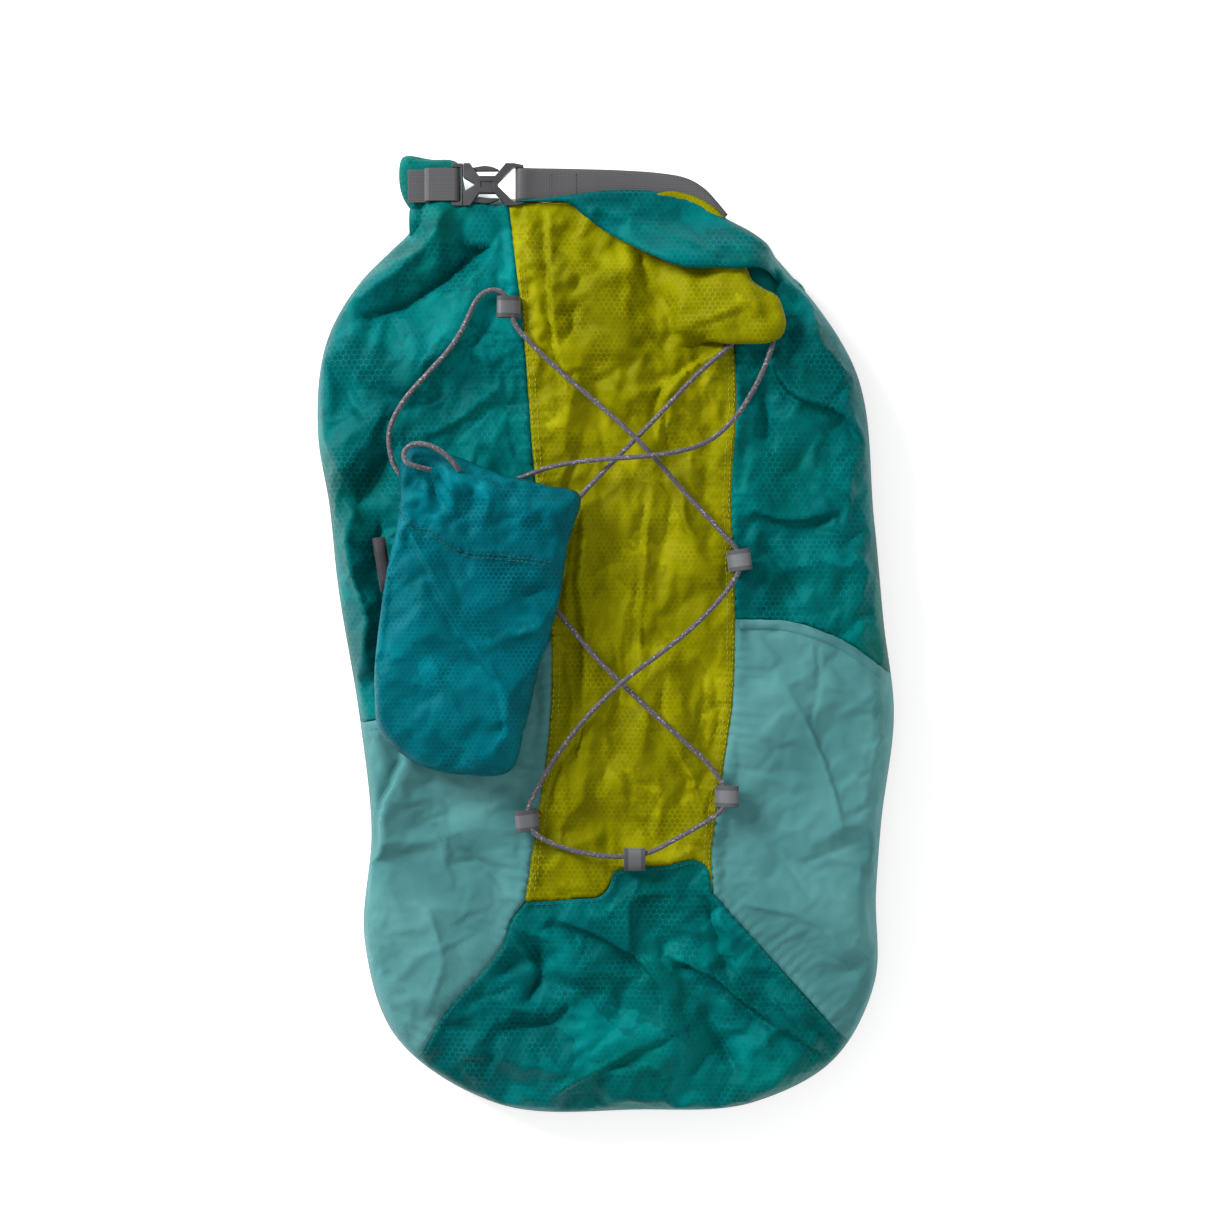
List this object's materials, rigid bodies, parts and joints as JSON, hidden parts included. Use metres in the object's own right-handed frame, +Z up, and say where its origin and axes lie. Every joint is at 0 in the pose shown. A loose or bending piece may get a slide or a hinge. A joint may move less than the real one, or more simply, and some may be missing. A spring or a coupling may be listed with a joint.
{
  "type": "roll-top packable rucksack",
  "caption": "Light roll-top rucksack lying flat, with stretch side pockets, a laced front cord and a small drawstring stow sack threaded on the lacing.",
  "frame": {"origin": "centre of the bounding box in X and Y, on the floor that the rucksack lies on", "axes": "+Y along the rucksack towards the roll-top, +X to the right of the front panel, +Z up out of the front panel"},
  "size_m": [0.3578, 0.5882, 0.0785],
  "materials": {
    "lime_nylon": "coated ripstop nylon, slight sheen",
    "teal_nylon": "coated ripstop nylon, slight sheen",
    "back_mesh": "open spacer mesh",
    "aqua_stretch": "stretch mesh, matt",
    "aqua_binding": "folded stretch hem",
    "grey_webbing": "woven polyester",
    "reflective_tape": "grosgrain with a paler centre stripe",
    "dark_tape": "grosgrain",
    "braided_cord": "braided shock cord with pale flecks",
    "grey_plastic": "moulded acetal",
    "black_plastic": "moulded acetal",
    "clear_plastic": "polyethylene strip",
    "spring_steel": "drawn wire"
  },
  "bodies": {
    "pack": {"back_panel": "back_mesh", "bottom_panel": "teal_nylon", "cord_lock_body": "black_plastic", "cord_lock_spring": "spring_steel", "front_centre_panel": "lime_nylon", "front_left_panel": "teal_nylon", "front_right_panel": "teal_nylon", "haul_loop": "grey_webbing", "lacing_cord": "braided_cord", "ladder_lock_left": "grey_plastic", "ladder_lock_right": "grey_plastic", "left_pocket_hem": "aqua_binding", "left_stretch_pocket": "aqua_stretch", "lime_gusset_fold": "lime_nylon", "loop_bottom": "reflective_tape", "loop_lower_left": "reflective_tape", "loop_lower_right": "reflective_tape", "loop_middle_left": "reflective_tape", "loop_middle_right": "reflective_tape", "loop_upper_left": "reflective_tape", "loop_upper_right": "reflective_tape", "right_pocket_hem": "aqua_binding", "right_shoulder_fold": "teal_nylon", "right_stretch_pocket": "aqua_stretch", "shoulder_strap_left": "back_mesh", "shoulder_strap_right": "back_mesh", "shoulder_webbing_left": "grey_webbing", "shoulder_webbing_right": "grey_webbing", "side_tab": "dark_tape"},
    "rolltop": {"collar_roll": "teal_nylon", "collar_stiffener": "clear_plastic", "collar_left_end": "teal_nylon", "collar_right_end": "teal_nylon", "strap_left_anchor": "grey_webbing", "buckle_female": "grey_plastic", "closure_strap": "grey_webbing"},
    "buckle_insert": {"buckle_male": "grey_plastic", "strap_left_loop": "grey_webbing"},
    "prong_upper": {"buckle_prong_upper": "grey_plastic"},
    "prong_lower": {"buckle_prong_lower": "grey_plastic"},
    "stow_sack": {"stow_sack_body": "teal_nylon", "stow_sack_channel": "teal_nylon", "sack_draw_cord": "braided_cord"},
    "lock_button": {"cord_lock_button": "black_plastic"}
  },
  "joints": [
    {"name": "rolltop_lift", "type": "hinge", "parent": "pack", "child": "rolltop", "pos_m": [0, 0.2425, 0.0295], "axis": [1, 0, 0], "range_deg": [0, 100]},
    {"name": "buckle_release", "type": "slide", "parent": "rolltop", "child": "buckle_insert", "axis": [-1, 0, 0], "range_m": [0, 0.022]},
    {"name": "prong_upper_flex", "type": "hinge", "parent": "buckle_insert", "child": "prong_upper", "pos_m": [-0.0867, 0.2843, 0.028], "axis": [0, 0, -1], "range_deg": [0, 14.5], "stiffness_Nm_per_rad": 0.002},
    {"name": "prong_lower_flex", "type": "hinge", "parent": "buckle_insert", "child": "prong_lower", "pos_m": [-0.0867, 0.2657, 0.028], "axis": [0, 0, 1], "range_deg": [0, 14.5], "stiffness_Nm_per_rad": 0.002},
    {"name": "sack_lift", "type": "hinge", "parent": "pack", "child": "stow_sack", "pos_m": [-0.08, 0.1165, 0.0555], "axis": [-1, 0, 0], "range_deg": [0, 100]},
    {"name": "lock_press", "type": "slide", "parent": "pack", "child": "lock_button", "axis": [0, 1, 0], "range_m": [0, 0.003], "stiffness_N_per_m": 400, "springref_m": -0.002, "deforming": ["cord_lock_spring"]}
  ],
  "couplings": [
    {"joint": "prong_upper_flex", "follows": "buckle_release", "rad_per_m": 11.3},
    {"joint": "prong_lower_flex", "follows": "buckle_release", "rad_per_m": 11.3}
  ]
}
